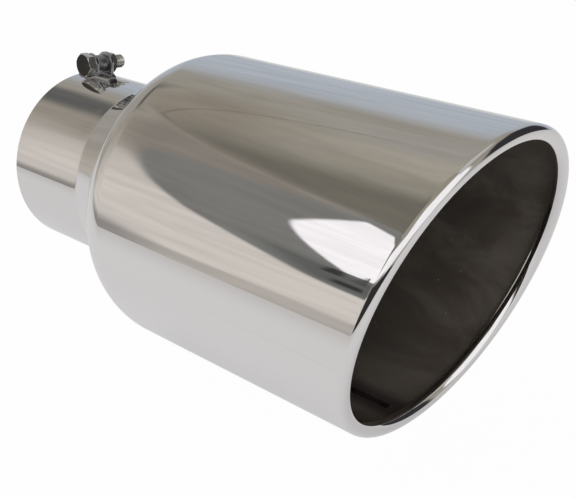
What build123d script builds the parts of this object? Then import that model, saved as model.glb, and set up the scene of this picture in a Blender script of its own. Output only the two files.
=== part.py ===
from build123d import *
import math
import os

# A bolt-on exhaust tip: a slant-cut, rolled-edge shell of polished stainless sheet on a
# slotted inlet collar, which one bolt between two welded lugs draws tight on the tailpipe.
# Millimetres. X runs along the tip from the inlet rim (0) to the outlet, and Z is up.

# Sheet
shell_wall = 1.5
collar_wall = 1.6

# Inlet collar
pipe_diameter = 127.0
slip_clearance = 0.6
flare_start = 74.0
flare_bend_radius = 9.0
flare_lap = 3.0
rim_break = 0.4

# Shell, its shoulder and its slant-cut mouth
shell_diameter = 203.2
overall_length = 381.0
shoulder_radius = 36.0
shoulder_front = 146.7
neck_radius = 75.6
cut_angle = 15.5

# Rolled lip: the sheet's edge curled inwards, a little proud, its free edge short of the wall
roll_radius = 4.8
roll_stand = 0.5
roll_hollow_radius = 3.1
roll_flats = 24
roll_gap = 1.2
curl_end_angle = 40.0

# Slot that lets the collar close on the pipe
slot_width = 4.0
slot_length = 49.0
slot_offset = 1.9

# Clamp: its place round the collar in degrees from the top, and its parts
clamp_clock = 4.0
bolt_station = 15.5
bolt_height = 9.2
bolt_diameter = 10.0
bolt_length = 30.0
bolt_tip_break = 1.2
head_across_flats = 16.0
head_height = 6.4
head_turn = 10.0
nut_across_flats = 14.0
nut_height = 4.5
hex_break_angle = 30.0
hole_clearance = 0.3
thread_clearance = 0.05
sleeve_diameter = 12.7
sleeve_length = 11.2

# Lugs, bent from plate and welded to the collar by their feet
lug_thickness = 2.4
lug_head_radius = 8.4
lug_neck_width = 13.0
foot_slot_gap = 0.6
foot_rim_gap = 2.0
bolt_lug_foot_reach = 22.5
nut_lug_foot_reach = 10.0
foot_corner_radius = 0.8

# Welds
neck_bead_radius = 2.4
lug_bead_radius = 1.8
seam_bead_width = 5.0
seam_bead_height = 0.8
seam_bead_crown = 2.0
seam_bead_clearance = 0.1
seam_bead_inset = 16.0

# Places worked out from the sizes above
collar_radius = pipe_diameter / 2 + slip_clearance + collar_wall
shell_radius = shell_diameter / 2
cut_slope = math.tan(math.radians(cut_angle))
roll_path_radius = shell_radius + roll_stand - roll_radius
mouth_station = overall_length - roll_radius - cut_slope * roll_path_radius
shoulder_centre = shell_radius - shoulder_radius
shoulder_sweep = math.acos((neck_radius - shoulder_centre) / shoulder_radius)
neck_station = shoulder_front - shoulder_radius * math.sin(shoulder_sweep)
flare_slope = (neck_radius - collar_radius) / (neck_station - flare_start)
flare_angle = math.atan(flare_slope)
flare_end = neck_station + flare_lap
bolt_axis = collar_radius + bolt_height
lug_inner = sleeve_length / 2
lug_outer = lug_inner + lug_thickness
hole_radius = bolt_diameter / 2 + hole_clearance

# The clamp's own frame: X as the tip's, Y across the slot, Z out from the pipe's axis
clamp_frame = Pos(bolt_station, 0, 0) * Rot(-clamp_clock, 0, 0)


def spun(face):
    """The face, drawn above the X axis in the XY plane, turned round that axis."""
    return revolve(face, axis=Axis.X)


def rod_along_x(radius, start, end):
    return Pos((start + end) / 2, 0, 0) * Rot(0, 90, 0) * Cylinder(radius, end - start)


def rod_along_y(radius, start, end):
    return Pos(0, (start + end) / 2, 0) * Rot(90, 0, 0) * Cylinder(radius, end - start)


def box_between(x, y, z):
    centre = [(low + high) / 2 for low, high in (x, y, z)]
    return Pos(*centre) * Box(x[1] - x[0], y[1] - y[0], z[1] - z[0])


def on_shoulder(radius, angle):
    """The point of the shoulder's arc of that radius, at an angle back from its crown."""
    return (shoulder_front - radius * math.sin(angle), shoulder_centre + radius * math.cos(angle))


def flare_radius(station):
    return collar_radius + (station - flare_start) * flare_slope


def flare_core():
    """All that lies inside the flare's outer surface, to seat the shell and the weld on it."""
    ends = (neck_station - shoulder_radius / 2, neck_station + shoulder_radius / 2)
    outline = [(ends[0], 0), (ends[0], flare_radius(ends[0])), (ends[1], flare_radius(ends[1]))]
    return Polygon(*outline, (ends[1], 0), align=None)


def shell_sheet():
    """The spun tube: shoulder and straight wall, still square at the mouth."""
    past = shoulder_sweep + shell_wall / shoulder_radius
    inner_radius = shoulder_radius - shell_wall
    outer = ThreePointArc(*(on_shoulder(shoulder_radius, past * share) for share in (1, 0.5, 0)))
    inner = ThreePointArc(*(on_shoulder(inner_radius, past * share) for share in (0, 0.5, 1)))
    front = [(overall_length, shell_radius), (overall_length, shell_radius - shell_wall)]
    rest = [Line(outer @ 1, front[0]), Line(*front), Line(front[1], inner @ 0), Line(inner @ 1, outer @ 0)]
    return spun(make_face(Curve() + [outer, inner] + rest) - flare_core())


def curl_section():
    """The curled sheet's section, in short flats: hollow, with a slit at its free edge."""
    slit = Pos(0, -roll_radius) * Rectangle(roll_gap, 2 * roll_radius)
    ring = RegularPolygon(roll_radius, round(roll_flats)) - RegularPolygon(roll_hollow_radius, 8)
    return ring - Rot(0, 0, -curl_end_angle) * slit


def rolled_lip():
    """The curl round the slanted mouth, along an oval of four arcs that follows the wall."""
    half_width = roll_path_radius
    half_height = roll_path_radius * math.hypot(1, cut_slope)
    shift = (half_height - half_width) / (2 - math.sqrt(2))
    arcs = [
        (0, half_height - shift, shift),
        (90, half_width + shift, -shift),
        (180, half_height - shift, shift),
        (270, half_width + shift, -shift),
    ]
    lip = Part()
    for turn, radius, offset in arcs:
        section = Plane.XZ * Pos(radius, 0) * curl_section()
        arc = Rot(0, 0, -45) * revolve(section, axis=Axis.Z, revolution_arc=90)
        lip += Rot(0, 0, turn) * Pos(offset, 0, 0) * arc
    mouth = Plane(origin=(mouth_station, 0, 0), x_dir=(cut_slope, 0, 1), z_dir=(1, 0, -cut_slope))
    return mouth * lip


def outer_shell():
    """The sheet, cut to end inside the curl's own wall, and the curl."""
    seat = roll_radius - roll_stand
    slope = cut_slope * roll_path_radius / shell_radius
    outer_meet = math.sqrt(roll_radius ** 2 - seat ** 2)
    inner_meet = math.sqrt(max(roll_hollow_radius ** 2 - (seat - shell_wall) ** 2, 0)) + slope * shell_wall
    depth = (outer_meet + inner_meet) / 2
    mouth = Plane(origin=(mouth_station - depth, 0, 0), z_dir=(1, 0, -slope))
    return split(shell_sheet(), bisect_by=mouth, keep=Keep.BOTTOM) + rolled_lip()


def slot_cutter():
    end = slot_length - slot_width / 2
    height = collar_radius * 1.2
    blade = box_between((-1, end), (-slot_width / 2, slot_width / 2), (collar_radius / 2, height))
    blade += Pos(end, 0, (collar_radius / 2 + height) / 2) * Cylinder(slot_width / 2, height - collar_radius / 2)
    return Rot(-clamp_clock, 0, 0) * Pos(0, slot_offset, 0) * blade


def inlet_collar():
    """The slotted sleeve and the flare that carries the shell."""
    inner = collar_radius - collar_wall
    bend = flare_start + collar_wall * math.tan(flare_angle / 2)
    across = (-collar_wall * math.sin(flare_angle), collar_wall * math.cos(flare_angle))
    top = (flare_end, flare_radius(flare_end))
    bottom = (top[0] - across[0], top[1] - across[1])
    outline = Polygon((0, inner), (0, collar_radius), (flare_start, collar_radius), top, bottom, (bend, inner), align=None)
    outline = fillet([outline.vertices().sort_by_distance((flare_start, collar_radius))[0]], flare_bend_radius)
    outline = fillet([outline.vertices().sort_by_distance((bend, inner))[0]], flare_bend_radius + collar_wall)
    outline = chamfer([outline.vertices().sort_by_distance((0, collar_radius))[0]], rim_break)
    return spun(outline) - slot_cutter()


def neck_weld():
    """The bead in the valley between the flare and the shoulder."""
    bead = Pos(neck_station, neck_radius) * RegularPolygon(neck_bead_radius, 10)
    bead -= Pos(shoulder_front, shoulder_centre) * Circle(shoulder_radius)
    return spun(bead - flare_core())


def shell_seam_weld():
    """The low bead inside the shell, along the seam of the rolled sheet, with a flat crown."""
    foot = seam_bead_width / 2
    crown = seam_bead_crown / 2
    base = -math.sqrt((shell_radius - shell_wall - seam_bead_clearance) ** 2 - foot ** 2)
    top = base + seam_bead_height
    end = mouth_station - cut_slope * shell_radius - seam_bead_inset
    outline = Polygon((-foot, base), (foot, base), (crown, top), (-crown, top), align=None)
    return extrude(Plane(origin=(shoulder_front, 0, 0), x_dir=(0, 1, 0), z_dir=(1, 0, 0)) * outline, end - shoulder_front)


def lug_tab(side):
    """The upright ear of a lug, with its round head about the bolt."""
    base = Pos(0, collar_radius / 2) * Rectangle(lug_neck_width, 1)
    head = Pos(0, bolt_axis) * Circle(lug_head_radius)
    outline = make_hull((base + head).edges()) - Pos(0, bolt_axis) * Circle(hole_radius)
    ear = extrude(Plane.XZ * outline, lug_thickness / 2, both=True)
    return Pos(0, side * (lug_inner + lug_outer) / 2, 0) * ear


def foot_span(side):
    """Across the slot, where a foot starts and ends: from the slot's edge to the ear's face."""
    edge = slot_offset + side * (slot_width / 2 + foot_slot_gap)
    return sorted((edge, side * lug_outer))


def lug(side, reach):
    """An ear and the foot under it, curved to the collar. Side is -1 at the bolt's head."""
    span = foot_span(side)
    back = foot_rim_gap - bolt_station
    plate = box_between((back, reach), span, (0, collar_radius * 2))
    plate = fillet(plate.edges().filter_by(Axis.Z), foot_corner_radius)
    ring = rod_along_x(collar_radius + lug_thickness, back - 1, reach + 1)
    blank = lug_tab(side) + (plate & ring)
    return clamp_frame * (blank - rod_along_x(collar_radius, back - 2, reach + 2))


def lug_weld(side, reach):
    """A short bead at each end of a lug's foot."""
    span = foot_span(side)
    beads = []
    for end in (foot_rim_gap - bolt_station, reach):
        ring = spun(Pos(end, collar_radius) * Circle(lug_bead_radius))
        inset = foot_corner_radius
        along = (end - 2 * lug_bead_radius, end + 2 * lug_bead_radius)
        beads.append(ring & box_between(along, (span[0] + inset, span[1] - inset), (0, collar_radius * 2)))
    beads = clamp_frame * (beads[0] + beads[1])
    return beads - rod_along_x(collar_radius, -lug_bead_radius, flare_start) - lug(side, reach)


def hexagon(across_flats, start, end, turn):
    """A hexagon bar along Y, with both ends turned to a blunt cone outside the flats."""
    radius = across_flats / 2
    corner = radius / math.cos(math.pi / 6)
    bar = extrude(RegularPolygon(radius, 6, major_radius=False, rotation=turn), end - start)
    drop = (corner - radius) * math.tan(math.radians(hex_break_angle))
    outline = Polygon((0, 0), (radius, 0), (corner, drop), (corner, end - start - drop), (radius, end - start),
                      (0, end - start), align=None)
    blank = revolve(Plane.XZ * outline, axis=Axis.Z)
    return Pos(0, start, 0) * Rot(-90, 0, 0) * (bar & blank)


def clamp_bolt():
    head = hexagon(head_across_flats, -lug_outer - head_height, -lug_outer, head_turn)
    shank = rod_along_y(bolt_diameter / 2, -lug_outer, bolt_length - lug_outer)
    shank = chamfer(shank.edges().group_by(Axis.Y)[-1], bolt_tip_break)
    return clamp_frame * Pos(0, 0, bolt_axis) * (head + shank)


def clamp_nut():
    body = hexagon(nut_across_flats, lug_outer, lug_outer + nut_height, 0)
    body -= rod_along_y(bolt_diameter / 2 + thread_clearance, lug_outer - 1, lug_outer + nut_height + 1)
    return clamp_frame * Pos(0, 0, bolt_axis) * body


def spacer_sleeve():
    body = rod_along_y(sleeve_diameter / 2, -lug_inner, lug_inner)
    body -= rod_along_y(hole_radius, -lug_outer, lug_outer)
    return clamp_frame * Pos(0, 0, bolt_axis) * body


def main():
    pieces = {
        "outer_shell": outer_shell(),
        "inlet_collar": inlet_collar(),
        "neck_weld": neck_weld(),
        "shell_seam_weld": shell_seam_weld(),
        "bolt_side_lug": lug(-1, bolt_lug_foot_reach),
        "nut_side_lug": lug(1, nut_lug_foot_reach),
        "bolt_side_lug_weld": lug_weld(-1, bolt_lug_foot_reach),
        "nut_side_lug_weld": lug_weld(1, nut_lug_foot_reach),
        "clamp_bolt": clamp_bolt(),
        "clamp_nut": clamp_nut(),
        "spacer_sleeve": spacer_sleeve(),
    }
    os.makedirs("parts", exist_ok=True)
    for name, shape in pieces.items():
        export_step(shape, f"parts/{name}.step")
        size = shape.bounding_box()
        print(f"{name}: {shape.volume:.1f} mm3, from {size.min} to {size.max}")


main()
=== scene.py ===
import math

import bmesh
import bpy
from mathutils import Matrix, Vector


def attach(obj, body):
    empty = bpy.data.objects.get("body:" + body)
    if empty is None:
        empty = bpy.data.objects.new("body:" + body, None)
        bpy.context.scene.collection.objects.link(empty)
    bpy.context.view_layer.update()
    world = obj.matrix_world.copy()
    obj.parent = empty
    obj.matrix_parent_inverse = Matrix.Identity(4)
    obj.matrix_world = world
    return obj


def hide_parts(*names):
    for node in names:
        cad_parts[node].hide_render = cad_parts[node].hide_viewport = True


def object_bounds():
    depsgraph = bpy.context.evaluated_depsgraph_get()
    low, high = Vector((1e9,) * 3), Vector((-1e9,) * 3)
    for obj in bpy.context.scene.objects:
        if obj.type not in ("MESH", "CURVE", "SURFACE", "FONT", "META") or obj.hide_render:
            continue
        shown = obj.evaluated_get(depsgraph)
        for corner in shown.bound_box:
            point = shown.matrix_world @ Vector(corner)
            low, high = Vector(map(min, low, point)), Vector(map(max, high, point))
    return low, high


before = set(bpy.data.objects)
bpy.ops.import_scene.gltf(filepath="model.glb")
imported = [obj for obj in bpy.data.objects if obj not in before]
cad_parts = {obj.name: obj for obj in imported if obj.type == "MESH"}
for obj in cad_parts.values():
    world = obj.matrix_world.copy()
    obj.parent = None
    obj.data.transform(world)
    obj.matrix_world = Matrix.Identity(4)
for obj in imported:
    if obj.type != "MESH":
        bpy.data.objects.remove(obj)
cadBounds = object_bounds()
mm = 0.001
print("frame loaded:", len(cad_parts), "solids")


def newMaterial(name):
    material = bpy.data.materials.new(name)
    material.use_nodes = True
    nodes = material.node_tree.nodes
    nodes.clear()
    out = nodes.new("ShaderNodeOutputMaterial")
    shader = nodes.new("ShaderNodeBsdfPrincipled")
    material.node_tree.links.new(shader.outputs[0], out.inputs[0])
    return material, nodes, material.node_tree.links, shader


def mathNode(nodes, links, operation, a, b=None):
    node = nodes.new("ShaderNodeMath")
    node.operation = operation
    for socket, value in zip(node.inputs, (a, b)):
        if value is None:
            continue
        if isinstance(value, (int, float)):
            socket.default_value = value
        else:
            links.new(value, socket)
    return node.outputs[0]


def smoothStep(nodes, links, value, low, high):
    node = nodes.new("ShaderNodeMapRange")
    node.interpolation_type = "SMOOTHSTEP"
    links.new(value, node.inputs["Value"])
    node.inputs["From Min"].default_value = low
    node.inputs["From Max"].default_value = high
    return node.outputs[0]


def mixColor(nodes, links, factor, a, b):
    node = nodes.new("ShaderNodeMix")
    node.data_type = "RGBA"
    for socket, value in ((node.inputs[0], factor), (node.inputs[6], a), (node.inputs[7], b)):
        if isinstance(value, (int, float)):
            socket.default_value = value
        elif isinstance(value, (tuple, list)):
            socket.default_value = (*value[:3], 1.0)
        else:
            links.new(value, socket)
    return node.outputs[2]


def noise(nodes, links, vector, scale, detail=3.0, roughness=0.5, distortion=0.0):
    node = nodes.new("ShaderNodeTexNoise")
    links.new(vector, node.inputs["Vector"])
    node.inputs["Scale"].default_value = scale
    node.inputs["Detail"].default_value = detail
    node.inputs["Roughness"].default_value = roughness
    node.inputs["Distortion"].default_value = distortion
    return node.outputs["Fac"]


def stretched(nodes, links, vector, scale):
    node = nodes.new("ShaderNodeMapping")
    links.new(vector, node.inputs["Vector"])
    node.inputs["Scale"].default_value = scale
    return node.outputs[0]


def tint(nodes, links, color, level):
    node = nodes.new("ShaderNodeMix")
    node.data_type, node.blend_type = "RGBA", "MULTIPLY"
    node.inputs[0].default_value = 1.0
    links.new(color, node.inputs[6])
    node.inputs[7].default_value = (level, level, level, 1)
    return node.outputs[2]


def objectCoords(nodes):
    return nodes.new("ShaderNodeTexCoord").outputs["Object"]


def addBump(nodes, links, shader, height, strength, distance, before=None):
    bump = nodes.new("ShaderNodeBump")
    bump.inputs["Strength"].default_value = strength
    bump.inputs["Distance"].default_value = distance
    links.new(height, bump.inputs["Height"])
    if before is not None:
        links.new(before, bump.inputs["Normal"])
    links.new(bump.outputs[0], shader.inputs["Normal"])
    return bump.outputs[0]


# the camera stands where the photograph was taken from; angles in radians, lens and sensor in mm
cameraView = {
    "place": (0.625807, -0.442136, 0.252512), "yaw": 2.3176, "pitch": -0.4187, "roll": 0.0036,
    "lens": 61.967, "sensor": 36.0, "nearest": 0.01,
}


def makeCamera():
    c = cameraView
    yaw, pitch, roll = c["yaw"], c["pitch"], c["roll"]
    forward = Vector((math.cos(pitch) * math.cos(yaw), math.cos(pitch) * math.sin(yaw), math.sin(pitch)))
    right = forward.cross(Vector((0, 0, 1))).normalized()
    up = right.cross(forward)
    side = math.cos(roll) * right + math.sin(roll) * up
    top = -math.sin(roll) * right + math.cos(roll) * up
    data = bpy.data.cameras.new("photoCamera")
    data.lens, data.sensor_width, data.clip_start = c["lens"], c["sensor"], c["nearest"]
    camera = bpy.data.objects.new("photoCamera", data)
    place = Vector(c["place"])
    camera.matrix_world = Matrix((
        (side.x, top.x, -forward.x, place.x),
        (side.y, top.y, -forward.y, place.y),
        (side.z, top.z, -forward.z, place.z),
        (0, 0, 0, 1)))
    bpy.context.scene.collection.objects.link(camera)
    bpy.context.scene.camera = camera


# the room that the polished steel shows, drawn by compass bearing and height in degrees;
# each area is convex, its corners counter-clockwise, with the softness of its edges last, and a
# later area covers an earlier one
room = {
    "low": (0.44, 0.42, 0.39), "high": (0.37, 0.345, 0.29), "blend": (-5, 60),
    "unevenScale": (2.5, 9, 16), "unevenRange": (0.30, 0.70), "unevenShade": 0.88,
    "areas": [
        ("backWall", (0.50, 0.545, 0.605),
         [(70, -25), (150, -25), (160, 10), (155, 27), (135, 37), (70, 37)], 18),
        ("leftCeiling", (0.41, 0.39, 0.355),
         [(128, 40), (156, 44), (166, 60), (150, 90), (100, 90), (100, 44)], 14),
        ("paleCeiling", (0.46, 0.43, 0.37),
         [(146, 58), (170, 50), (178, 52), (182, 60), (176, 95), (140, 95)], 8),
        ("dimBeam", (0.335, 0.295, 0.245), [(162, 40), (192, 41), (192, 46), (172, 48), (162, 46)], 6),
        ("farWall", (0.395, 0.36, 0.31), [(186, -8), (230, -8), (230, 40), (186, 40)], (8, 5, 2, 10)),
        ("paleFront", (0.78, 0.735, 0.69),
         [(190, -20), (262, -20), (262, 40), (228.5, 40), (190, 4.7)], (3, 2, 3, 36, 12)),
        ("darkShelf", (0.15, 0.15, 0.145),
         [(165, 33.5), (186, 33.5), (186, 39.3), (165, 39.3)], (4, 12, 1.2, 10)),
        ("darkPanel", (0.203, 0.190, 0.158),
         [(188, 40.4), (236, 40.4), (236, 64), (210, 64)], (1.0, 5, 9, 16)),
        ("lowOutline", (0.21, 0.18, 0.15),
         [(187, 40.7), (214, 41.4), (214, 41.65), (187, 40.95)], (0.2, 8, 0.2, 1)),
        ("highOutline", (0.25, 0.215, 0.175),
         [(150, 50.15), (187, 40.9), (187, 41.15), (150, 50.4)], (0.25, 1, 0.25, 16)),
        ("darkSlopeEnd", (0.31, 0.28, 0.245), [(190, 41), (214, 25), (222, 41)], 4),
        ("darkSlope", (0.245, 0.245, 0.235),
         [(208.0, 31.5), (213.0, 24.6), (218.4, 18), (222.4, 13.2), (228.4, 7.6), (232.6, 3.2),
          (237, 2.2), (262, 2.2), (262, 40.6), (221, 40.6)], (3, 2.4, 2.0, 1.8, 1.6, 1.4, 1.4, 2, 0.8, 5)),
        ("darkEnd", (0.14, 0.147, 0.143), [(228, 13), (233, 4), (241, 3), (241, 12), (233, 12.5)], 4),
        ("window", (1.24, 1.21, 1.25),
         [(222.8, 41.2), (226.0, 24.8), (229.4, 19.6), (233.6, 12.2), (262, 12.2), (262, 24),
          (228.0, 37.0)],
         (0.8, 0.5, 0.6, 0.5, 2, 0.8, 0.6)),
        ("sill", (0.05, 0.05, 0.05), [(233.2, 9.0), (234.6, 9.0), (234.4, 11.8), (233.4, 11.8)], 0.6),
        ("sillEnd", (0.05, 0.05, 0.05), [(234.4, 5.0), (236.4, 5.0), (236.4, 7.0), (234.4, 7.0)], 0.7),
        ("sillPost", (0.10, 0.10, 0.10), [(235.2, 9.0), (236.6, 8.6), (236.2, 14.0), (235.6, 14.0)], 0.6),
        ("behindTable", (0.55, 0.515, 0.48),
         [(196, -30), (262, -30), (262, -14), (228, -11.5), (196, -8)], (2, 2, 3, 3, 3)),
        ("darkBehindTable", (0.33, 0.315, 0.30),
         [(180, -30), (221, -30), (221, -8), (180, -6)], (2, 7, 7, 6)),
        ("windowSide", (1.2, 1.19, 1.21), [(256, 12), (298, 9), (298, 36), (256, 30)], (3, 4, 6, 4)),
        ("brightWall", (1.15, 1.15, 1.17), [(300, 2), (380, 4), (380, 70), (293, 56)], (5, 5, 10, 6)),
        ("brightEdge", (1.15, 1.15, 1.17),
         [(-20, 4), (10, 6), (19, 24), (14, 50), (-20, 64)], (5, 6, 6, 10, 5)),
        ("paleSide", (0.60, 0.61, 0.63), [(-20, -40), (54, -40), (50, -6), (24, 4), (-20, 4)], 5),
        ("paleEnd", (0.60, 0.61, 0.63), [(338, -40), (380, -40), (380, 2), (352, 2)], 8),
        ("paleTop", (0.62, 0.61, 0.60), [(-20, 56), (84, 56), (84, 84), (-20, 84)], 6),
        ("darkDoor", (0.035, 0.035, 0.035),
         [(259, -35), (350, -35), (344, -13), (318, 1), (259, 9)], (2, 4, 4, 4, 3)),
        ("darkCorner", (0.04, 0.04, 0.045),
         [(30, 7), (56, -6), (86, 0), (98, 18), (82, 42), (50, 46), (34, 34)], 8),
    ],
}


def makeRoom():
    world = bpy.data.worlds.new("studioRoom")
    bpy.context.scene.world = world
    world.use_nodes = True
    nodes, links = world.node_tree.nodes, world.node_tree.links
    nodes.clear()
    out = nodes.new("ShaderNodeOutputWorld")
    parts = nodes.new("ShaderNodeSeparateXYZ")
    links.new(nodes.new("ShaderNodeTexCoord").outputs["Generated"], parts.inputs[0])
    bearing = mathNode(nodes, links, "ARCTAN2", parts.outputs[1], parts.outputs[0])
    bearing = mathNode(nodes, links, "MULTIPLY", bearing, 180 / math.pi)
    bearing = mathNode(nodes, links, "MODULO", mathNode(nodes, links, "ADD", bearing, 360.0), 360.0)
    height = mathNode(nodes, links, "ARCSINE", parts.outputs[2])
    height = mathNode(nodes, links, "MULTIPLY", height, 180 / math.pi)

    def side(point, angle, soft):        # 1 on the left of a line through a point, 0 on its right
        c, s = math.cos(math.radians(angle)), math.sin(math.radians(angle))
        x = mathNode(nodes, links, "MULTIPLY", mathNode(nodes, links, "SUBTRACT", bearing, point[0]), -s)
        y = mathNode(nodes, links, "MULTIPLY", mathNode(nodes, links, "SUBTRACT", height, point[1]), c)
        return smoothStep(nodes, links, mathNode(nodes, links, "ADD", x, y), -soft / 2, soft / 2)

    def area(corners, soft):
        mask = None
        for i, first in enumerate(corners):
            second = corners[(i + 1) % len(corners)]
            angle = math.degrees(math.atan2(second[1] - first[1], second[0] - first[0]))
            edge = side(first, angle, soft[i] if isinstance(soft, tuple) else soft)
            mask = edge if mask is None else mathNode(nodes, links, "MULTIPLY", mask, edge)
        return mask

    rise = smoothStep(nodes, links, height, *room["blend"])
    color = mixColor(nodes, links, rise, room["low"], room["high"])
    for name, shade, corners, soft in room["areas"]:
        color = mixColor(nodes, links, area(corners, soft), color, shade)
    direction = nodes.new("ShaderNodeTexCoord").outputs["Generated"]
    uneven = noise(nodes, links, stretched(nodes, links, direction, room["unevenScale"]), 1.0, 3.0, 0.55, 0.4)
    color = mixColor(nodes, links, smoothStep(nodes, links, uneven, *room["unevenRange"]), color,
                     tint(nodes, links, color, room["unevenShade"]))
    light = nodes.new("ShaderNodeBackground")
    links.new(color, light.inputs[0])
    white = nodes.new("ShaderNodeBackground")
    white.inputs[0].default_value = (1, 1, 1, 1)
    mix = nodes.new("ShaderNodeMixShader")
    links.new(nodes.new("ShaderNodeLightPath").outputs["Is Camera Ray"], mix.inputs[0])
    links.new(light.outputs[0], mix.inputs[1])
    links.new(white.outputs[0], mix.inputs[2])
    links.new(mix.outputs[0], out.inputs[0])
    print("room:", len(room["areas"]), "areas")


# the white table, whose near edge shows as a line in the shell's side; its colour darkens towards that edge,
# a painted shade
table = {
    "front": -0.36, "left": -9.0, "right": 9.0, "far": 9.0, "paintedShadeDepth": 0.14, "rough": 0.85,
    "color": (0.33, 0.33, 0.345), "paintedEdgeShade": (0.20, 0.19, 0.185), "white": 0.965, "glow": 0.44,
}


def makeTable():
    mesh = bpy.data.meshes.new("table")
    z = cadBounds[0][2]
    left, right, front, far = table["left"], table["right"], table["front"], table["far"]
    corners = [(left, front, z), (right, front, z), (right, far, z), (left, far, z)]
    mesh.from_pydata(corners, [], [(0, 1, 2, 3)])
    top = bpy.data.objects.new("table", mesh)
    bpy.context.scene.collection.objects.link(top)
    material, nodes, links, shader = newMaterial("tablePaper")
    parts = nodes.new("ShaderNodeSeparateXYZ")
    links.new(objectCoords(nodes), parts.inputs[0])
    # painted shade: the colour goes from the table's own to a darker one over the strip nearest its front
    # edge
    near = smoothStep(nodes, links, parts.outputs[1], front, front + table["paintedShadeDepth"])
    links.new(mixColor(nodes, links, near, table["paintedEdgeShade"], table["color"]), shader.inputs["Base Color"])
    shader.inputs["Roughness"].default_value = table["rough"]
    shader.inputs["Emission Color"].default_value = (1, 1, 1, 1)
    shader.inputs["Emission Strength"].default_value = table["glow"]
    glow = nodes.new("ShaderNodeEmission")
    glow.inputs[0].default_value = (1, 1, 1, 1)
    mix = nodes.new("ShaderNodeMixShader")
    seen = nodes.new("ShaderNodeLightPath").outputs["Is Camera Ray"]
    links.new(mathNode(nodes, links, "MULTIPLY", seen, table["white"]), mix.inputs[0])
    links.new(shader.outputs[0], mix.inputs[1])
    links.new(glow.outputs[0], mix.inputs[2])
    out = next(node for node in nodes if node.type == "OUTPUT_MATERIAL")
    links.new(mix.outputs[0], out.inputs[0])
    mesh.materials.append(material)


# broad lamps for shadow and even light, which the mirror-like steel doesn't show
lamps = {
    "softOverhead": {"place": (-0.2, -0.5, 1.5), "target": (0.2, 0, 0), "size": 1.2, "power": 10.0},
    "softFront": {"place": (1.4, -1.3, 1.2), "target": (0.3, 0, 0), "size": 0.8, "power": 8.0},
}


def makeLamps():
    for name, lamp in lamps.items():
        data = bpy.data.lights.new(name, "AREA")
        data.size, data.energy = lamp["size"], lamp["power"]
        item = bpy.data.objects.new(name, data)
        item.location = lamp["place"]
        aim = Vector(lamp["target"]) - Vector(lamp["place"])
        item.rotation_euler = aim.to_track_quat("-Z", "Y").to_euler()
        item.visible_glossy = False
        bpy.context.scene.collection.objects.link(item)


# polished stainless: nearly a mirror, with hair lines along the tube and a slow waver in the sheet;
# patterns are given as waves per metre along and across the tube
polish = {
    "polishedShellSteel": {"shade": (0.78, 0.765, 0.755), "rough": 0.010, "waver": 0.018},
    "polishedCollarSteel": {"shade": (0.76, 0.745, 0.735), "rough": 0.016, "waver": 0.012},
    "hairLines": (14, 1100, 1100), "broadTone": (5, 40, 40), "sheetWaver": (7, 26, 26),
    "scratches": (3, 330, 330), "scratchRange": (0.66, 0.74), "scratchShare": 0.25, "scratchShade": 0.84,
    "toneChange": 0.015, "roughChange": 0.05, "waverDepth": 0.0010,
    "hairStrength": 0.006, "hairDepth": 0.0002,
}


def polishedSteel(name):
    p = polish
    shade, rough, waver = (p[name][key] for key in ("shade", "rough", "waver"))
    material, nodes, links, shader = newMaterial(name)
    place = objectCoords(nodes)
    fine = noise(nodes, links, stretched(nodes, links, place, p["hairLines"]), 1.0, 2.0)
    broad = noise(nodes, links, stretched(nodes, links, place, p["broadTone"]), 1.0, 3.0)
    wave = noise(nodes, links, stretched(nodes, links, place, p["sheetWaver"]), 1.0, 1.0)
    darker, lighter = [c * (1 - p["toneChange"]) for c in shade], [c * (1 + p["toneChange"]) for c in shade]
    color = mixColor(nodes, links, broad, darker, lighter)
    line = noise(nodes, links, stretched(nodes, links, place, p["scratches"]), 1.0, 2.0, 0.6)
    scratched = smoothStep(nodes, links, line, *p["scratchRange"])
    color = mixColor(nodes, links, mathNode(nodes, links, "MULTIPLY", scratched, p["scratchShare"]),
                     color, [c * p["scratchShade"] for c in shade])
    links.new(color, shader.inputs["Base Color"])
    shader.inputs["Metallic"].default_value = 1.0
    rise = mathNode(nodes, links, "MULTIPLY", fine, broad)
    rise = mathNode(nodes, links, "MULTIPLY", rise, p["roughChange"])
    links.new(mathNode(nodes, links, "ADD", rise, rough), shader.inputs["Roughness"])
    first = addBump(nodes, links, shader, wave, waver, p["waverDepth"])
    addBump(nodes, links, shader, fine, p["hairStrength"], p["hairDepth"], first)
    return material


# the unpolished inside: dark brown grey, clouded, with mill streaks, a few bright specks and
# a burnt band along the weld at the bottom, in metres
inside = {
    "cloudScale": (14, 26, 26), "cloudRange": (0.34, 0.68), "cloudDark": (0.112, 0.092, 0.076),
    "cloudPale": (0.222, 0.194, 0.166), "streakScale": (12, 220, 220), "streakShare": 0.5,
    "streakColor": (0.138, 0.12, 0.103), "burntColor": (0.035, 0.028, 0.03), "burntShare": 0.75,
    "burntAcross": (0.004, 0.016), "burntHeight": (-0.08, -0.05), "speckScale": 420.0,
    "speckRange": (0.74, 0.78), "speckColor": (0.42, 0.40, 0.37), "metal": 0.45, "rough": 0.38,
    "roughChange": 0.25, "bump": 0.10, "cloudDepth": 0.001, "streakDepth": 0.0003,
}


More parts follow.
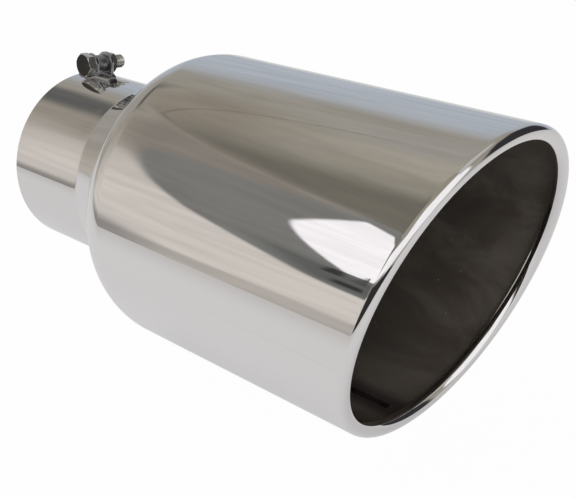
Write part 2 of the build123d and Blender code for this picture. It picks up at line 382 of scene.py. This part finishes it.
def dullInside(name):
    d = inside
    material, nodes, links, shader = newMaterial(name)
    place = objectCoords(nodes)
    parts = nodes.new("ShaderNodeSeparateXYZ")
    links.new(place, parts.inputs[0])
    cloud = noise(nodes, links, stretched(nodes, links, place, d["cloudScale"]), 1.0, 6.0, 0.62, 0.6)
    streak = noise(nodes, links, stretched(nodes, links, place, d["streakScale"]), 1.0, 3.0, 0.55)
    speck = noise(nodes, links, place, d["speckScale"], 2.0, 0.5)
    clouded = smoothStep(nodes, links, cloud, *d["cloudRange"])
    color = mixColor(nodes, links, clouded, d["cloudDark"], d["cloudPale"])
    streaked = mathNode(nodes, links, "MULTIPLY", streak, d["streakShare"])
    color = mixColor(nodes, links, streaked, color, d["streakColor"])
    across = mathNode(nodes, links, "ABSOLUTE", parts.outputs[1])
    band = mathNode(nodes, links, "SUBTRACT", 1.0, smoothStep(nodes, links, across, *d["burntAcross"]))
    low = smoothStep(nodes, links, parts.outputs[2], *d["burntHeight"])
    low = mathNode(nodes, links, "SUBTRACT", 1.0, low)
    burnt = mathNode(nodes, links, "MULTIPLY", mathNode(nodes, links, "MULTIPLY", band, low), d["burntShare"])
    color = mixColor(nodes, links, burnt, color, d["burntColor"])
    color = mixColor(nodes, links, smoothStep(nodes, links, speck, *d["speckRange"]), color, d["speckColor"])
    links.new(color, shader.inputs["Base Color"])
    shader.inputs["Metallic"].default_value = d["metal"]
    rise = mathNode(nodes, links, "MULTIPLY", cloud, d["roughChange"])
    links.new(mathNode(nodes, links, "ADD", rise, d["rough"]), shader.inputs["Roughness"])
    first = addBump(nodes, links, shader, cloud, d["bump"], d["cloudDepth"])
    addBump(nodes, links, shader, streak, d["bump"], d["streakDepth"], first)
    return material


# the clamp's steels and the welds: shade, stain and their range, roughness, grains per metre and
# the strength of their bump
grain = {
    # partly painted reflection: the lugs' steel tone, lowered below the bolt's to deepen the dark
    # surroundings the feet reflect
    "lugSteelAndPaintedReflection": {"shade": (0.38, 0.38, 0.385), "stain": (0.24, 0.24, 0.24), "stained": (0.56, 0.80),
                 "rough": 0.16, "scale": 2600, "bump": 0.004},
    "sleeveSteel": {"shade": (0.34, 0.345, 0.355), "stain": (0.26, 0.26, 0.27), "stained": (0.56, 0.80),
                    "rough": 0.30, "scale": 2600, "bump": 0.006},
    "boltSteel": {"shade": (0.62, 0.61, 0.58), "stain": (0.44, 0.43, 0.41), "stained": (0.58, 0.80),
                  "rough": 0.17, "scale": 2600, "bump": 0.004},
    # painted reflection: the head's outer face is the bolt's steel, coloured near black to stand for the dark
    # room it reflects
    "boltHeadPaintedReflection": {"shade": (0.04, 0.037, 0.034), "stain": (0.10, 0.095, 0.085), "stained": (0.56, 0.74),
                     "rough": 0.3, "scale": 1200, "bump": 0.05},
    "nutSteel": {"shade": (0.50, 0.51, 0.46), "stain": (0.36, 0.37, 0.33), "stained": (0.58, 0.80),
                 "rough": 0.18, "scale": 2600, "bump": 0.004},
    "weldSteel": {"shade": (0.50, 0.485, 0.46), "stain": (0.33, 0.30, 0.26), "stained": (0.52, 0.72),
                  "rough": 0.36, "scale": 2600, "bump": 0.006},
    # painted reflection: the lug welds are weld steel coloured near black, to stand for the dark surroundings
    # the lug feet reflect
    "lugWeldPaintedReflection": {"shade": (0.09, 0.09, 0.092), "stain": (0.04, 0.038, 0.036), "stained": (0.52, 0.72),
                "rough": 0.26, "scale": 2600, "bump": 0.006},
    "burntWeld": {"shade": (0.10, 0.085, 0.08), "stain": (0.04, 0.035, 0.04), "stained": (0.52, 0.72),
                  "rough": 0.4, "scale": 900, "bump": 0.1},
    "stainScale": 110.0, "grainShade": 0.93, "metal": 0.95, "roughChange": 0.06, "depth": 0.0002,
    "grainRange": (0.25, 0.75),
}


def grainySteel(name):
    g, own = grain, grain[name]
    shade = own["shade"]
    material, nodes, links, shader = newMaterial(name)
    place = objectCoords(nodes)
    fine = noise(nodes, links, stretched(nodes, links, place, (own["scale"],) * 3), 1.0, 3.0, 0.5)
    stain = noise(nodes, links, place, g["stainScale"], 2.0, 0.5)
    grained = smoothStep(nodes, links, fine, *g["grainRange"])
    color = mixColor(nodes, links, grained, [c * g["grainShade"] for c in shade], shade)
    color = mixColor(nodes, links, smoothStep(nodes, links, stain, *own["stained"]), color, own["stain"])
    links.new(color, shader.inputs["Base Color"])
    shader.inputs["Metallic"].default_value = g["metal"]
    rise = mathNode(nodes, links, "MULTIPLY", fine, g["roughChange"])
    links.new(mathNode(nodes, links, "ADD", rise, own["rough"]), shader.inputs["Roughness"])
    addBump(nodes, links, shader, fine, own["bump"], g["depth"])
    return material


# a skin over rings of points, closed round the rings, round each ring, or both
def ringMesh(name, rings, closedRound, closedProfile):
    mesh = bpy.data.meshes.new(name)
    rows, columns = len(rings), len(rings[0])
    faces = []
    for i in range(rows if closedRound else rows - 1):
        for j in range(columns if closedProfile else columns - 1):
            a, b = i * columns + j, i * columns + (j + 1) % columns
            c, d = ((i + 1) % rows) * columns + (j + 1) % columns, ((i + 1) % rows) * columns + j
            faces.append((a, b, c, d))
    mesh.from_pydata([point for ring in rings for point in ring], [], faces)
    return mesh


# merge doubles, point the faces outwards, smooth all but the real edges, and hang the piece on its body
def finishMesh(mesh, name, materials, smoothAngle):
    shape = bmesh.new()
    shape.from_mesh(mesh)
    bmesh.ops.remove_doubles(shape, verts=shape.verts, dist=1e-7)
    bmesh.ops.recalc_face_normals(shape, faces=shape.faces)
    shape.to_mesh(mesh)
    shape.free()
    for polygon in mesh.polygons:
        polygon.use_smooth = True
    mesh.set_sharp_from_angle(angle=math.radians(smoothAngle))
    piece = bpy.data.objects.new(name, mesh)
    bpy.context.scene.collection.objects.link(piece)
    for material in materials:
        mesh.materials.append(material)
    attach(piece, "root")
    return piece


# sizes in millimetres, as in the solid model, and angles in degrees
shell = {
    "radius": 101.6, "wall": 1.5, "length": 381.0, "shoulderRadius": 36.0, "shoulderFront": 146.7,
    "neckRadius": 75.6, "cutAngle": 15.5, "rollRadius": 4.8, "rollStand": 0.5,
    "curlEnd": 232.0, "curlStart": -28.0, "curlOverlap": 4.0, "dullFrom": 3.4, "dullRadius": 60.0,
    "wallShares": (0.35, 0.7, 0.93, 0.985), "insideShares": (0.985, 0.8, 0.5, 0.25, 0.0),
    "steps": 420, "shoulderSteps": 24, "rollSteps": 60, "hollowSteps": 40, "smooth": 40,
}


def makeShell():
    c = shell
    slope = math.tan(math.radians(c["cutAngle"]))
    pathRadius = c["radius"] - c["rollRadius"]
    mouth = c["length"] - c["rollRadius"] - slope * (pathRadius + c["rollStand"])
    arcCentre = c["radius"] - c["shoulderRadius"]
    sweep = math.acos((c["neckRadius"] - arcCentre) / c["shoulderRadius"])
    start, end = math.radians(c["curlStart"]), math.radians(c["curlEnd"])
    hollow = c["rollRadius"] - c["wall"]
    inner = c["radius"] - c["wall"]
    front = c["shoulderFront"]
    rings = []
    for k in range(c["steps"]):
        turn = 2 * math.pi * k / c["steps"]
        cy, cz = math.cos(turn), math.sin(turn)
        out = Vector((0, cy, cz))
        path = Vector((mouth + slope * pathRadius * cz, pathRadius * cy, pathRadius * cz))
        ahead = Vector((1, slope * cy * cz, -slope * cy * cy)).normalized()
        ring = []

        def onArc(radius, angle):
            along = front - radius * math.sin(angle)
            return Vector((along, 0, 0)) + out * (arcCentre + radius * math.cos(angle))

        def onRoll(radius, angle):
            return path + radius * (math.cos(angle) * out + math.sin(angle) * ahead)

        for n in range(c["shoulderSteps"] + 1):
            ring.append(onArc(c["shoulderRadius"], sweep * (1 - n / c["shoulderSteps"])))
        top = path + c["rollRadius"] * out
        for share in c["wallShares"]:
            ring.append(Vector((front + (top.x - front) * share, 0, 0)) + out * c["radius"])
        for n in range(c["rollSteps"] + 1):       # the wall runs straight into the roll, up to its free edge
            ring.append(onRoll(c["rollRadius"], end * n / c["rollSteps"]))
        for n in range(c["hollowSteps"] + 1):     # and back inside it
            ring.append(onRoll(hollow, end + (start - end) * n / c["hollowSteps"]))
        last = ring[-1].x - c["curlOverlap"]
        for share in c["insideShares"]:
            ring.append(Vector((front + (last - front) * share, 0, 0)) + out * inner)
        for n in range(1, c["shoulderSteps"] + 1):
            ring.append(onArc(c["shoulderRadius"] - c["wall"], sweep * n / c["shoulderSteps"]))
        rings.append([p * mm for p in ring])
    mesh = ringMesh("shell", rings, True, True)
    piece = finishMesh(mesh, "polishedShell", [steelShell, insideShell], c["smooth"])
    for polygon in mesh.polygons:                 # the inside is dull, up to the roll
        centre = polygon.center
        r = math.hypot(centre.y, centre.z) / mm
        inward = polygon.normal.y * centre.y + polygon.normal.z * centre.z < 0
        dullEnd = mouth + slope * centre.z / mm - c["dullFrom"]
        polygon.material_index = 1 if inward and centre.x / mm < dullEnd and r > c["dullRadius"] else 0
    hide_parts("outer_shell")
    print("shell:", len(mesh.polygons), "faces")


collar = {
    "radius": 65.7, "wall": 1.6, "flareStart": 74.0, "bend": 9.0, "lap": 3.0, "rimBreak": 0.4,
    "slotWidth": 4.0, "slotLength": 49.0, "slotOffset": 1.9, "steps": 300,
    "stations": (1.5, 8, 16, 24, 32, 40), "stationsPastSlot": (52, 60, 67), "bendSteps": 8, "flareSteps": 4,
    "smooth": 30, "inward": -0.5,
}


def neckStation():
    rise = shell["neckRadius"] - shell["radius"] + shell["shoulderRadius"]
    return shell["shoulderFront"] - math.sqrt(shell["shoulderRadius"] ** 2 - rise ** 2)


def makeCollar():
    c = collar
    inner = c["radius"] - c["wall"]
    neck = neckStation()
    tilt = math.atan((shell["neckRadius"] - c["radius"]) / (neck - c["flareStart"]))
    end = neck + c["lap"]
    endRadius = c["radius"] + (end - c["flareStart"]) * math.tan(tilt)
    slotEnd = c["slotLength"] - c["slotWidth"] / 2
    profile = [(c["rimBreak"], c["radius"])]
    profile += [(x, c["radius"]) for x in c["stations"]]
    for angle in range(0, 91, 10):                # close round the slot's end
        profile.append((slotEnd + c["slotWidth"] / 2 * math.sin(math.radians(angle)), c["radius"]))
    profile += [(x, c["radius"]) for x in c["stationsPastSlot"]]
    run = c["bend"] * math.tan(tilt / 2)
    for n in range(c["bendSteps"] + 1):
        a = tilt * n / c["bendSteps"]
        along, out = c["bend"] * math.sin(a), c["bend"] * (1 - math.cos(a))
        profile.append((c["flareStart"] - run + along, c["radius"] + out))
    for n in range(1, c["flareSteps"] + 1):
        t = n / c["flareSteps"]
        flareX = c["flareStart"] + (end - c["flareStart"]) * t
        profile.append((flareX, c["radius"] + (endRadius - c["radius"]) * t))
    across = Vector((-math.sin(tilt), math.cos(tilt)))
    inside = []
    for x, r in profile:
        flat = x < c["flareStart"] - run + 1e-6
        thick = Vector((0, 1)) if flat else across
        if not flat and x < c["flareStart"] + run:
            a = math.asin(min(1, (x - c["flareStart"] + run) / c["bend"]))
            thick = Vector((-math.sin(a), math.cos(a)))
        inside.append((x - thick.x * c["wall"], r - thick.y * c["wall"]))
    inside[0] = (0.0, inner)
    line = [(0.0, c["radius"] - c["rimBreak"])] + profile
    line += list(reversed(inside))
    clock = math.radians(clamp["clock"])
    rings = []
    for k in range(c["steps"] + 1):
        ring = []
        for x, r in line:
            half = c["slotWidth"] / 2
            if x >= slotEnd + half:
                half = 0.0
            elif x > slotEnd:
                half = math.sqrt(max(half * half - (x - slotEnd) ** 2, 0))
            left = math.asin((c["slotOffset"] + half) / r)
            right = math.asin((c["slotOffset"] - half) / r)
            turn = clock + left + (2 * math.pi - left + right) * k / c["steps"]
            ring.append(Vector((x, r * math.sin(turn), r * math.cos(turn))) * mm)
        rings.append(ring)
    mesh = ringMesh("collar", rings, False, True)
    rows, columns = len(rings), len(line)
    shape = bmesh.new()
    shape.from_mesh(mesh)
    shape.verts.ensure_lookup_table()
    # close the slot's two walls between the outside and the inside
    half = len(profile)
    for row in (0, rows - 1):
        base = row * columns
        for j in range(1, half):
            a, b = base + j, base + j + 1
            d, e = base + columns - j, base + columns - j - 1
            quad = [shape.verts[i] for i in (a, b, e, d)]
            if line[j][0] < c["slotLength"] - 1e-6:
                shape.faces.new(quad)
        shape.faces.new([shape.verts[i] for i in (base, base + 1, base + columns - 1)])
    shape.to_mesh(mesh)
    shape.free()
    piece = finishMesh(mesh, "slottedCollar", [steelCollar, insideShell], c["smooth"])
    for polygon in mesh.polygons:
        centre = polygon.center
        facing = polygon.normal.y * centre.y + polygon.normal.z * centre.z
        inward = facing < c["inward"] * math.hypot(centre.y, centre.z)
        polygon.material_index = 1 if inward else 0
    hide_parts("inlet_collar")
    print("collar:", len(mesh.polygons), "faces")


# the clamp: its place round the collar in degrees from the top, and its bolt, nut and sleeve; the head's
# face is given from its middle outwards, as radius and rise
clamp = {
    "clock": 4.0, "station": 15.5, "height": 9.2, "lugInner": 5.6, "lugThick": 2.4,
    "headFlats": 16.0, "headHeight": 6.4, "headTurn": 10.0, "nutFlats": 14.0, "nutHeight": 4.5, "cone": 30.0,
    "boltRadius": 5.0, "boltLength": 30.0, "tipBreak": 1.2, "threadPitch": 1.5, "threadDepth": 0.75,
    "threadLead": 2.0, "threadFade": 1.5, "threadCrest": 0.12, "threadFlank": 0.72, "threadRows": 10,
    "headFace": ((0.4, 0.12), (4.5, 0.10), (7.0, 0.02), (7.5, 0.0)), "headSeat": 7.4, "neckRound": 0.4,
    "cornerWear": 0.985, "nutClearance": 0.05, "nutMouth": 6.0, "nutMouthDepth": 0.8,
    "sleeveRadius": 6.35, "holeRadius": 5.3, "edge": 0.3, "steps": 72, "chamferSteps": 6, "smooth": 28,
    "threadGap": 0.02, "headFacing": 0.97, "sleeveSteps": 64, "sleeveSmooth": 40,
    "lugEdge": 0.35, "lugFlat": 0.6, "lugCorner": 38, "lugSmooth": 40,
}


def clampFrame():
    c = clamp
    return Matrix.Translation((c["station"], 0, 0)) @ Matrix.Rotation(math.radians(-c["clock"]), 4, "X")


# sections run along the bolt: each gives its place and a rule for its radius round the turn
def clampPiece(name, materials, steps, sections, smoothAngle):
    c = clamp
    spot = clampFrame() @ Matrix.Translation((0, 0, collar["radius"] + c["height"]))
    rings = []
    for along, radiusAt in sections:
        ring = []
        for k in range(steps):
            turn = 2 * math.pi * k / steps
            r = radiusAt(turn)
            ring.append((spot @ Vector((r * math.cos(turn), along, -r * math.sin(turn)))) * mm)
        rings.append(ring)
    return finishMesh(ringMesh(name, rings, False, True), name, materials, smoothAngle)


# fill the small holes left in the middle of a piece's two end faces
def closeEnds(piece):
    shape = bmesh.new()
    shape.from_mesh(piece.data)
    edges = [e for e in shape.edges if e.is_boundary]
    bmesh.ops.holes_fill(shape, edges=edges, sides=0)
    bmesh.ops.recalc_face_normals(shape, faces=shape.faces)
    shape.to_mesh(piece.data)
    shape.free()


def hexRadius(flats, turn, start):
    half = flats / 2
    sixth = math.radians(60)
    r = half / math.cos(((turn - math.radians(start)) % sixth) - sixth / 2)
    return min(r, half / math.cos(math.pi / 6) * clamp["cornerWear"])


# a hexagon's sections, with its corners turned down to a cone at both ends
def hexSections(flats, low, high, start):
    half = flats / 2
    grow = 1 / math.tan(math.radians(clamp["cone"]))
    steps = clamp["chamferSteps"]
    drop = (half / math.cos(math.pi / 6) - half) * math.tan(math.radians(clamp["cone"]))
    places = [drop * n / steps for n in range(steps + 1)]
    places += [high - low - p for p in reversed(places)]
    sections = []
    for p in places:
        edge = half + min(p, high - low - p) * grow
        sections.append((low + p, lambda turn, e=edge: min(hexRadius(flats, turn, start), e)))
    return sections


def makeBolt():
    c = clamp
    seat = -c["lugInner"] - c["lugThick"]
    tip = seat + c["boltLength"]
    threadFrom = c["lugInner"] - c["threadLead"]
    head = hexSections(c["headFlats"], seat - c["headHeight"], seat, c["headTurn"])
    top, r, neck = head[0][0], c["boltRadius"], c["neckRound"]
    sections = [(top + rise, lambda turn, r=radius: r) for radius, rise in c["headFace"]] + head
    sections += [(seat, lambda turn: c["headSeat"]), (seat, lambda turn: r + neck),
                 (seat + neck, lambda turn: r), (threadFrom, lambda turn: r)]
    rows = int((tip - threadFrom) / c["threadPitch"] * c["threadRows"])
    gap = c["threadGap"]

    def threadAt(along):
        fade = min(1.0, (along - threadFrom) / c["threadFade"])
        limit = c["boltRadius"] - max(0, c["tipBreak"] - (tip - along))

        def rule(turn):
            wave = abs(2 * ((along / c["threadPitch"] + turn / (2 * math.pi)) % 1.0) - 1)
            flank = min(max((wave - c["threadCrest"]) / c["threadFlank"], 0), 1)
            cut = flank * c["threadDepth"] * fade
            return min(c["boltRadius"] - cut, limit)
        return rule

    for n in range(rows + 1):
        along = threadFrom + gap + (tip - threadFrom - gap) * n / rows
        sections.append((along, threadAt(along)))
    sections.append((tip, lambda turn: c["headFace"][0][0]))
    # the second metal is the near-black head face, a painted dark reflection
    metals = [boltSteel, headFace]
    piece = clampPiece("threadedBolt", metals, c["steps"], sections, c["smooth"])
    closeEnds(piece)
    # the faces that look out along the bolt from the head's end get the near-black metal, a painted dark
    # reflection
    facing = clampFrame().to_3x3() @ Vector((0, -1, 0))
    for polygon in piece.data.polygons:
        polygon.material_index = 1 if polygon.normal.dot(facing) > c["headFacing"] else 0
    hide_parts("clamp_bolt")


def makeNut():
    c = clamp
    low = c["lugInner"] + c["lugThick"]
    high = low + c["nutHeight"]
    bore, depth = c["boltRadius"] + c["nutClearance"], c["nutMouthDepth"]
    body = hexSections(c["nutFlats"], low, high, 0)
    sections = body + [(high, lambda turn: c["nutMouth"]), (high - depth, lambda turn: bore),
                       (low + depth, lambda turn: bore), (low, lambda turn: c["nutMouth"]), body[0]]
    piece = clampPiece("hexNut", [nutSteel], c["steps"], sections, c["smooth"])
    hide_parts("clamp_nut")


def makeSleeve():
    c = clamp
    half, r, edge, hole = c["lugInner"], c["sleeveRadius"], c["edge"], c["holeRadius"]
    rounding = ((0, edge), (edge * 0.3, edge * 0.3), (edge, 0))        # in from the end, and down
    profile = [(-half, hole)] + [(-half + into, r - down) for into, down in rounding]
    profile += [(half - into, r - down) for into, down in reversed(rounding)] + [(half, hole), (-half, hole)]
    sections = [(along, lambda turn, r=radius: r) for along, radius in profile]
    steps, smooth = c["sleeveSteps"], c["sleeveSmooth"]
    piece = clampPiece("spacerTube", [tubeSteel], steps, sections, smooth)
    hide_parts("spacer_sleeve")


# a lug is the solid model's own, with its edges rounded
def bevelledCopy(node, name, material):
    c = clamp
    shape = bmesh.new()
    shape.from_mesh(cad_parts[node].data)
    bmesh.ops.remove_doubles(shape, verts=shape.verts, dist=2e-6)
    flat = math.radians(c["lugFlat"])
    bmesh.ops.dissolve_limit(shape, angle_limit=flat, verts=shape.verts, edges=shape.edges)
    mesh = bpy.data.meshes.new(name)
    shape.to_mesh(mesh)
    shape.free()
    draft = bpy.data.objects.new(name + "Draft", mesh)
    bpy.context.scene.collection.objects.link(draft)
    bevel = draft.modifiers.new("edge", "BEVEL")
    bevel.width, bevel.segments, bevel.limit_method = c["lugEdge"] * mm, 2, "ANGLE"
    bevel.angle_limit = math.radians(c["lugCorner"])
    bevel.use_clamp_overlap = True
    done = bpy.data.meshes.new_from_object(draft.evaluated_get(bpy.context.evaluated_depsgraph_get()))
    bpy.data.objects.remove(draft)
    piece = finishMesh(done, name, [material], c["lugSmooth"])
    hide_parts(node)


# the ripples of a weld: flat scales, one after another along a path; a scale's length, width and height
weld = {
    "neckX": 110.6, "neckRadius": 77.1, "neckSpacing": 1.25, "neckScale": (1.1, 1.8, 0.13), "neckLean": -0.95,
    "seamSpacing": 1.5, "seamScale": (1.4, 1.7, 0.35), "seamStart": 148.0, "seamEnd": 304.0,
    "seamDrop": 99.25, "seamWander": 0.15, "wanderRate": 0.7, "sizes": (0.82, 1.15), "seed": 7,
    "neckPoints": 240, "seamPoints": 60,
}


def buildRippleTree():
    tree = bpy.data.node_groups.new("weldRipples", "GeometryNodeTree")
    face = tree.interface
    face.new_socket("Path", in_out="INPUT", socket_type="NodeSocketGeometry")
    for name, kind in (("Spacing", "Float"), ("Length", "Float"), ("Width", "Float"), ("Height", "Float"),
                       ("Outward", "Float"), ("Lean", "Float"), ("Seed", "Int"), ("Material", "Material")):
        face.new_socket(name, in_out="INPUT", socket_type="NodeSocket" + kind)
    face.new_socket("Ripples", in_out="OUTPUT", socket_type="NodeSocketGeometry")
    nodes, links = tree.nodes, tree.links
    given = nodes.new("NodeGroupInput")
    curve = nodes.new("GeometryNodeMeshToCurve")
    links.new(given.outputs["Path"], curve.inputs[0])
    even = nodes.new("GeometryNodeResampleCurve")
    even.mode = "LENGTH"
    links.new(curve.outputs[0], even.inputs["Curve"])
    links.new(given.outputs["Spacing"], even.inputs["Length"])
    flat = nodes.new("ShaderNodeVectorMath")
    flat.operation = "MULTIPLY"
    links.new(nodes.new("GeometryNodeInputPosition").outputs[0], flat.inputs[0])
    flat.inputs[1].default_value = (0, 1, 1)
    radial = nodes.new("ShaderNodeVectorMath")
    radial.operation = "NORMALIZE"
    links.new(flat.outputs[0], radial.inputs[0])
    out = nodes.new("ShaderNodeVectorMath")
    out.operation = "SCALE"
    links.new(radial.outputs[0], out.inputs[0])
    links.new(given.outputs["Outward"], out.inputs["Scale"])
    lean = nodes.new("ShaderNodeCombineXYZ")
    links.new(given.outputs["Lean"], lean.inputs[0])
    rise = nodes.new("ShaderNodeVectorMath")
    rise.operation = "ADD"
    links.new(out.outputs[0], rise.inputs[0])
    links.new(lean.outputs[0], rise.inputs[1])
    stand = nodes.new("FunctionNodeAlignRotationToVector")
    stand.axis = "Z"
    links.new(rise.outputs[0], stand.inputs["Vector"])
    along = nodes.new("FunctionNodeAlignRotationToVector")
    along.axis, along.pivot_axis = "X", "Z"
    links.new(stand.outputs[0], along.inputs["Rotation"])
    links.new(nodes.new("GeometryNodeInputTangent").outputs[0], along.inputs["Vector"])
    scale = nodes.new("FunctionNodeRandomValue")
    scale.data_type = "FLOAT"
    scale.inputs[2].default_value, scale.inputs[3].default_value = weld["sizes"]
    links.new(given.outputs["Seed"], scale.inputs["Seed"])
    size = nodes.new("ShaderNodeCombineXYZ")
    for i, name in enumerate(("Length", "Width", "Height")):
        links.new(given.outputs[name], size.inputs[i])
    vary = nodes.new("ShaderNodeVectorMath")
    vary.operation = "SCALE"
    links.new(size.outputs[0], vary.inputs[0])
    links.new(scale.outputs[1], vary.inputs["Scale"])
    ball = nodes.new("GeometryNodeMeshUVSphere")
    ball.inputs["Segments"].default_value = 10
    ball.inputs["Rings"].default_value = 6
    ball.inputs["Radius"].default_value = 1.0
    copies = nodes.new("GeometryNodeInstanceOnPoints")
    links.new(even.outputs[0], copies.inputs["Points"])
    links.new(ball.outputs["Mesh"], copies.inputs["Instance"])
    links.new(along.outputs[0], copies.inputs["Rotation"])
    links.new(vary.outputs[0], copies.inputs["Scale"])
    real = nodes.new("GeometryNodeRealizeInstances")
    links.new(copies.outputs[0], real.inputs[0])
    paint = nodes.new("GeometryNodeSetMaterial")
    links.new(real.outputs[0], paint.inputs["Geometry"])
    links.new(given.outputs["Material"], paint.inputs["Material"])
    result = nodes.new("NodeGroupOutput")
    links.new(paint.outputs[0], result.inputs[0])
    return tree


def makeRipples(name, points, closed, spacing, scale, outward, lean, material):
    path = bpy.data.meshes.new(name + "Path")
    edges = [(i, i + 1) for i in range(len(points) - 1)] + ([(len(points) - 1, 0)] if closed else [])
    path.from_pydata([p * mm for p in points], edges, [])
    draft = bpy.data.objects.new(name + "Draft", path)
    bpy.context.scene.collection.objects.link(draft)
    ripples = draft.modifiers.new("weldRipples", "NODES")
    ripples.node_group = rippleTree
    sockets = [item for item in rippleTree.interface.items_tree if item.item_type == "SOCKET"]
    ids = {item.name: item.identifier for item in sockets if item.in_out == "INPUT"}
    length, width, height = (size * mm for size in scale)
    values = {"Spacing": spacing * mm, "Length": length, "Width": width, "Height": height,
              "Outward": outward, "Lean": lean, "Seed": weld["seed"], "Material": material}
    for key, value in values.items():
        ripples[ids[key]] = value
    done = bpy.data.meshes.new_from_object(draft.evaluated_get(bpy.context.evaluated_depsgraph_get()))
    draft.modifiers.remove(ripples)
    bpy.data.objects.remove(draft)
    for polygon in done.polygons:
        polygon.use_smooth = True
    piece = bpy.data.objects.new(name, done)
    bpy.context.scene.collection.objects.link(piece)
    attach(piece, "root")
    print(name + ":", len(done.polygons), "faces")


def makeWelds():
    w = weld
    turns = [2 * math.pi * k / w["neckPoints"] for k in range(w["neckPoints"])]
    ring = [Vector((w["neckX"], w["neckRadius"] * math.cos(a), w["neckRadius"] * math.sin(a))) for a in turns]
    makeRipples("neckRipples", ring, True, w["neckSpacing"], w["neckScale"], 1.0, w["neckLean"],
                weldSteel)
    run, count = w["seamEnd"] - w["seamStart"], w["seamPoints"]
    stations = [w["seamStart"] + run * n / count for n in range(count + 1)]
    seam = [Vector((x, w["seamWander"] * math.sin(x * w["wanderRate"]), -w["seamDrop"])) for x in stations]
    makeRipples("seamRipples", seam, False, w["seamSpacing"], w["seamScale"], -1.0, 0.0,
                burntWeld)


bpy.context.scene.view_settings.view_transform = "Standard"
makeCamera()
makeRoom()
makeTable()
makeLamps()
steelShell = polishedSteel("polishedShellSteel")
steelCollar = polishedSteel("polishedCollarSteel")
insideShell = dullInside("unpolishedInside")
# the lugs' steel, darkened in part as a painted dark reflection
plateAndPaintedReflection = grainySteel("lugSteelAndPaintedReflection")
tubeSteel = grainySteel("sleeveSteel")
boltSteel = grainySteel("boltSteel")
# a near-black copy of the bolt's steel for the head's outer face, a painted dark reflection
headFace = grainySteel("boltHeadPaintedReflection")
nutSteel = grainySteel("nutSteel")
weldSteel = grainySteel("weldSteel")
# the weld steel coloured near black, a painted dark reflection
lugWeldPaintedReflection = grainySteel("lugWeldPaintedReflection")
burntWeld = grainySteel("burntWeld")
print("materials made")
makeShell()
makeCollar()
makeBolt()
makeNut()
makeSleeve()
bevelledCopy("bolt_side_lug", "boltSideLug", plateAndPaintedReflection)
bevelledCopy("nut_side_lug", "nutSideLug", plateAndPaintedReflection)
print("clamp made")
rippleTree = buildRippleTree()
makeWelds()
# the solid model's own weld beads show, in these metals; the lug welds' near-black metal is a painted dark
# reflection
for node, material in (("neck_weld", weldSteel), ("shell_seam_weld", burntWeld),
                       ("bolt_side_lug_weld", lugWeldPaintedReflection), ("nut_side_lug_weld", lugWeldPaintedReflection)):
    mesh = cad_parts[node].data
    mesh.materials.clear()
    mesh.materials.append(material)
